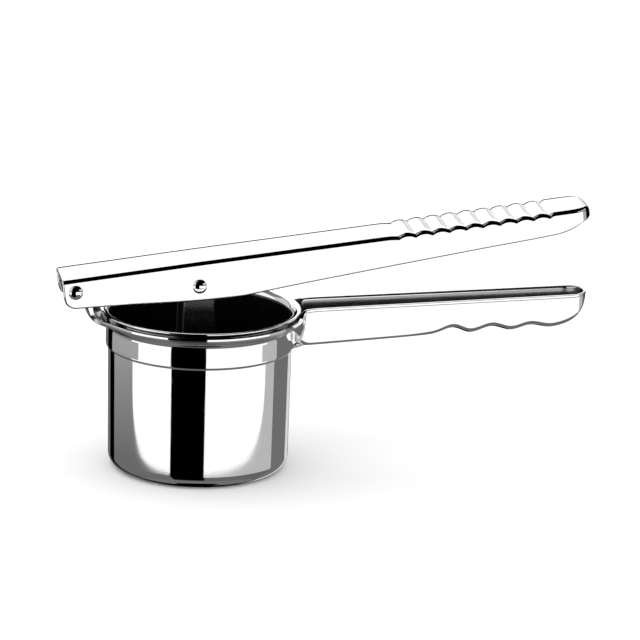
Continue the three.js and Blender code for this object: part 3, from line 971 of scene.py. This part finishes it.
WHITE = 1.15                     # brightness that shows as pure white on polished steel
SOFTBOX_FOOT = -17.95            # elevation of the softboxes' lower edge
SOFTBOX_CORNER_TOP = -13.5       # and of the top of their big round corner
COLLAR_ELEVATION = -12.65        # the cup reflects what is below this, and the collar what is above
SOFTBOX_DISTANCE = 0.9           # nearer than the other screens, in metres like all their distances


def direction(azimuth, elevation):
    """Unit direction; azimuth 0 is in front of the object and 90 is towards +X, in degrees."""
    around, up = math.radians(azimuth), math.radians(elevation)
    return Vector((math.sin(around) * math.cos(up), -math.cos(around) * math.cos(up), math.sin(up)))


def screen(name, azimuths, elevations, brightness, distance=0.95, foot_brightness=None):
    """A lit screen round the object, between two azimuths and two elevations."""
    rows = []
    for elevation in spread(*elevations, 16):
        rows.append([
            direction(azimuth, elevation) * distance / MM for azimuth in spread(*azimuths, 60)
        ])
    hang(name, rows, brightness, brightness if foot_brightness is None else foot_brightness)


def softbox(name, inner, outer, collar_reach):
    """A white screen with a big round lower corner on its outer side; the collar's part is narrower."""
    rows = []
    foot = spread(SOFTBOX_FOOT, -17.5, 20)
    for elevation in [*foot, *spread(-17.4, -12.7, 40), *spread(-12.6, 4, 8)]:
        reach = collar_reach
        if elevation < COLLAR_ELEVATION:
            down = (SOFTBOX_CORNER_TOP - elevation) / (SOFTBOX_CORNER_TOP - SOFTBOX_FOOT)
            reach = math.sqrt(1 - max(down, 0) ** 3)
        rows.append([
            direction(azimuth, elevation) * SOFTBOX_DISTANCE / MM
            for azimuth in spread(inner, mix(inner, outer, reach), 20)
        ])
    hang(name, rows, WHITE, WHITE)


def flag(name, centre, radius, azimuths, heights):
    """A black card curved round an upright line, to keep light off one end of the object."""
    rows = []
    for height in heights:
        rows.append([
            centre + direction(azimuth, 0) * radius + Vector((0, 0, height))
            for azimuth in spread(*azimuths, 24)
        ])
    hang(name, rows, 0, 0)


def hang(name, rows, brightness, foot_brightness):
    """Makes a screen from rows of points; only reflections see it."""
    vertices, faces, ring = [], [], None
    for points in rows:
        following = add_ring(vertices, points)
        if ring:
            bridge(faces, ring, following)
        ring = following
    result = new_object(name, vertices, faces)
    result.data.materials.append(glow(name, brightness, foot_brightness))
    result.visible_camera = False
    result.visible_diffuse = False
    result.visible_shadow = False


def glow(name, brightness, foot_brightness):
    """Light that changes from the foot's brightness to the top's a little above a screen's middle."""
    material = bpy.data.materials.new(name)
    material.use_nodes = True
    tree = material.node_tree
    tree.nodes.remove(tree.nodes["Principled BSDF"])
    place = node(tree, "SeparateXYZ")
    tree.links.new(node(tree, "TexCoord").outputs["Generated"], place.inputs["Vector"])
    emission = node(tree, "Emission", Color=(1, 1, 1, 1))
    strength = remap(tree, place.outputs["Z"], 0.54, 0.68, foot_brightness, brightness)
    tree.links.new(strength, emission.inputs["Strength"])
    tree.links.new(emission.outputs["Emission"], tree.nodes["Material Output"].inputs["Surface"])
    return material


def make_screens():
    """Screens for the cup and the upright walls, then for the lever's top, then for other views."""
    screen("studio_dark", (-180, 180), (-89.9, 89.9), 0, distance=3.6)
    softbox("screen_left", -42.4, -99, 0.78)
    screen("screen_left_grey", (-141, -42.4), (-46, 4), 0.42, foot_brightness=0.15)
    screen("screen_left_edge", (-180, -158), (-46, 4), 0.16)
    screen("screen_left_high", (-120, -72), (4, 58), 1.0, distance=3)
    softbox("screen_right", 0.1, 82, 0.89)
    screen("screen_right_grey", (0.1, 99), (-22, 4), 0.42, foot_brightness=0.5)
    screen("screen_right_shade", (99, 139), (-46, 4), 0.16)
    screen("screen_right_edge", (139, 158), (-46, 4), 0.7)
    screen("screen_gap", (-44, 2), (-46, 4), 0, distance=0.98)
    screen("screen_table", (-141, 139), (-52, -18), 0.13, distance=1.0)
    screen("screen_table_middle", (-141, 139), (-76, -50), 0.17, distance=1.05)
    screen("screen_back", (150, 200), (14.8, 42), WHITE, distance=3)
    screen("screen_back_right", (140, 165), (4.5, 14), 0.85, distance=3)
    screen("screen_back_left", (181.5, 200), (7, 14), 0.85, distance=3)
    screen("screen_side_left", (203, 318), (5, 33), 0.6, distance=3.3)
    screen("screen_upper_left", (203, 318), (33, 78), 0.2, distance=3.3)
    screen("screen_side_right", (36, 134), (8, 26), 0.6, distance=3.3)
    flag("flag_at_lever_nose", Vector((184, 0, 0)), 60, (96, 150), (75, 220))
    flag("flag_at_handle_nose", Vector((184, 0, 0)), 60, (120, 150), (20, 70))
    lever_card()
    handle_card()


def handle_card():
    """A narrow lit strip in the lower handle's channel, for the soft streak on its far wall."""
    rows = []
    for drop in (4.8, 3.4):
        rows.append([Vector((x, 0, handle_top(x) - drop)) for x in spread(48, 175, 40)])
    hang("card_in_handle", rows, 1, 1)


def lever_card():
    """A narrow white card in front of the lever's lower edge, to keep its near wall bright there."""
    rows = []
    for rise in (-1.3, 3.5):
        rows.append([
            lever_frame() @ Vector((along, -LEVER_HALF_WIDTH - 5, curve(LEVER_EDGE, along) + rise))
            for along in spread(6, 110, 40)
        ])
    hang("card_by_lever", rows, WHITE, WHITE)


def make_floor():
    """A wide pale floor; reflections look past it to the studio's screens."""
    half = 12000
    corners = [(-half, -half, 0), (half, -half, 0), (half, half, 0), (-half, half, 0)]
    floor = new_object("floor", corners, [(0, 1, 2, 3)])
    material = bpy.data.materials.new("floor_paint")
    material.use_nodes = True
    shader = material.node_tree.nodes["Principled BSDF"]
    shader.inputs["Base Color"].default_value = (0.92, 0.92, 0.92, 1)
    shader.inputs["Roughness"].default_value = 1
    shader.inputs["Specular IOR Level"].default_value = 0
    floor.data.materials.append(material)
    floor.visible_glossy = False


def light_world():
    world = bpy.data.worlds.new("soft_daylight")
    world.use_nodes = True
    world.node_tree.nodes["Background"].inputs["Color"].default_value = (1, 1, 1, 1)
    world.node_tree.nodes["Background"].inputs["Strength"].default_value = 1.35
    bpy.context.scene.world = world
    bpy.context.scene.view_settings.view_transform = "Standard"


def place_camera():
    """A long lens from the front, a little left of the object and above it."""
    camera = bpy.data.objects.new("camera", bpy.data.cameras.new("camera"))
    bpy.context.scene.collection.objects.link(camera)
    camera.data.sensor_width = 36
    camera.data.lens = 303.75
    camera.data.clip_end = 60
    turn = Matrix.Rotation(math.radians(-9.266), 4, "Z")
    tip = Matrix.Rotation(math.radians(90 - 15.785), 4, "X")
    roll = Matrix.Rotation(math.radians(1.506), 4, "Z")
    camera.matrix_world = Matrix.Translation((-0.3360, -2.4070, 0.7587)) @ turn @ tip @ roll
    bpy.context.scene.camera = camera


# ---- assembly ------------------------------------------------------------------------

make_basket()
make_frame()
make_lever()
make_pin_parts()
make_disc()
make_yoke()
make_disc_rivets()
make_screens()
make_floor()
light_world()
place_camera()
